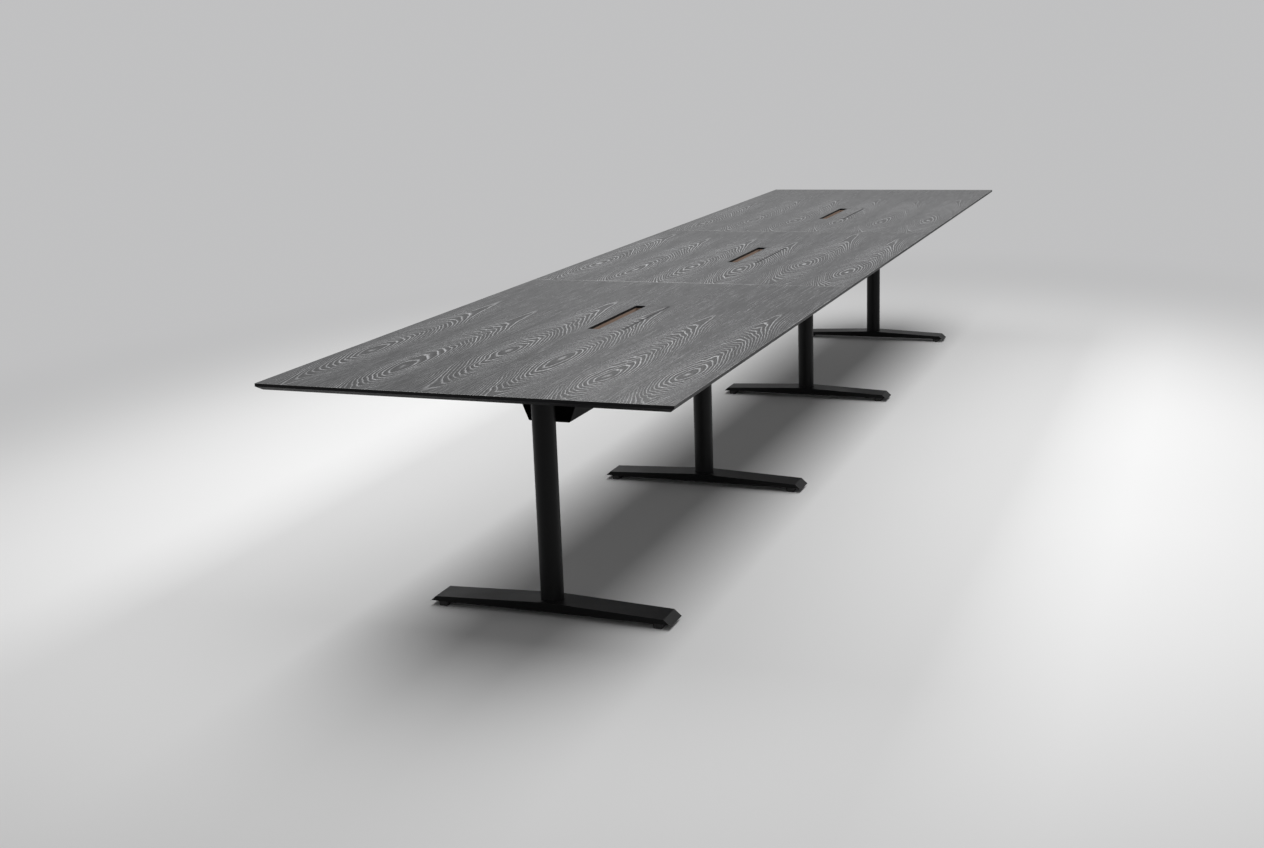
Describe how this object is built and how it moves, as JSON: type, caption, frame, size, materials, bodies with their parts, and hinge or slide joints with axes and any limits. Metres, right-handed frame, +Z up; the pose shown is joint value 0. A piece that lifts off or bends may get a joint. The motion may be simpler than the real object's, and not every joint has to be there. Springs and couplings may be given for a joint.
{
  "type": "conference table",
  "caption": "Long rectangular conference table: dark wood-faced panels with hinged cable flaps over a folded cable trough, on round black columns with low flat feet.",
  "frame": {"origin": "on the floor, under the middle of the table top", "axes": "+X along the table's length, +Y across it towards the flaps' cable slots, +Z up"},
  "size_m": [5.1, 1.2, 0.745],
  "materials": {
    "top_board": "dark stained oak grain, satin lacquer",
    "flap_board": "dark stained oak grain, satin lacquer",
    "black_metal": "satin black powder coat",
    "steel": "zinc plated",
    "pad": "matt black"
  },
  "bodies": {
    "table": {"top_near": "top_board", "top_middle": "top_board", "top_far": "top_board", "flap_rest_near_a": "black_metal", "flap_rest_near_b": "black_metal", "flap_rest_middle_a": "black_metal", "flap_rest_middle_b": "black_metal", "flap_rest_far_a": "black_metal", "flap_rest_far_b": "black_metal", "trough_near": "black_metal", "trough_middle": "black_metal", "trough_far": "black_metal", "top_arm_1": "black_metal", "top_arm_2": "black_metal", "top_arm_3": "black_metal", "top_arm_4": "black_metal", "column_1": "black_metal", "column_2": "black_metal", "column_3": "black_metal", "column_4": "black_metal", "foot_1": "black_metal", "foot_2": "black_metal", "foot_3": "black_metal", "foot_4": "black_metal", "foot_bolt_1": "steel", "foot_bolt_2": "steel", "foot_bolt_3": "steel", "foot_bolt_4": "steel", "foot_pad_1_left": "pad", "foot_pad_1_right": "pad", "foot_pad_2_left": "pad", "foot_pad_2_right": "pad", "foot_pad_3_left": "pad", "foot_pad_3_right": "pad", "foot_pad_4_left": "pad", "foot_pad_4_right": "pad"},
    "flap_near_body": {"flap_near": "flap_board", "flap_pin_near_a": "steel", "flap_pin_near_b": "steel"},
    "flap_middle_body": {"flap_middle": "flap_board", "flap_pin_middle_a": "steel", "flap_pin_middle_b": "steel"},
    "flap_far_body": {"flap_far": "flap_board", "flap_pin_far_a": "steel", "flap_pin_far_b": "steel"}
  },
  "joints": [
    {"name": "flap_near_hinge", "type": "hinge", "parent": "table", "child": "flap_near_body", "pos_m": [-1.425, -0.104, 0.739], "axis": [1, 0, 0], "range_deg": [0, 104]},
    {"name": "flap_middle_hinge", "type": "hinge", "parent": "table", "child": "flap_middle_body", "pos_m": [0, -0.104, 0.739], "axis": [1, 0, 0], "range_deg": [0, 104]},
    {"name": "flap_far_hinge", "type": "hinge", "parent": "table", "child": "flap_far_body", "pos_m": [1.425, -0.104, 0.739], "axis": [1, 0, 0], "range_deg": [0, 104]}
  ]
}
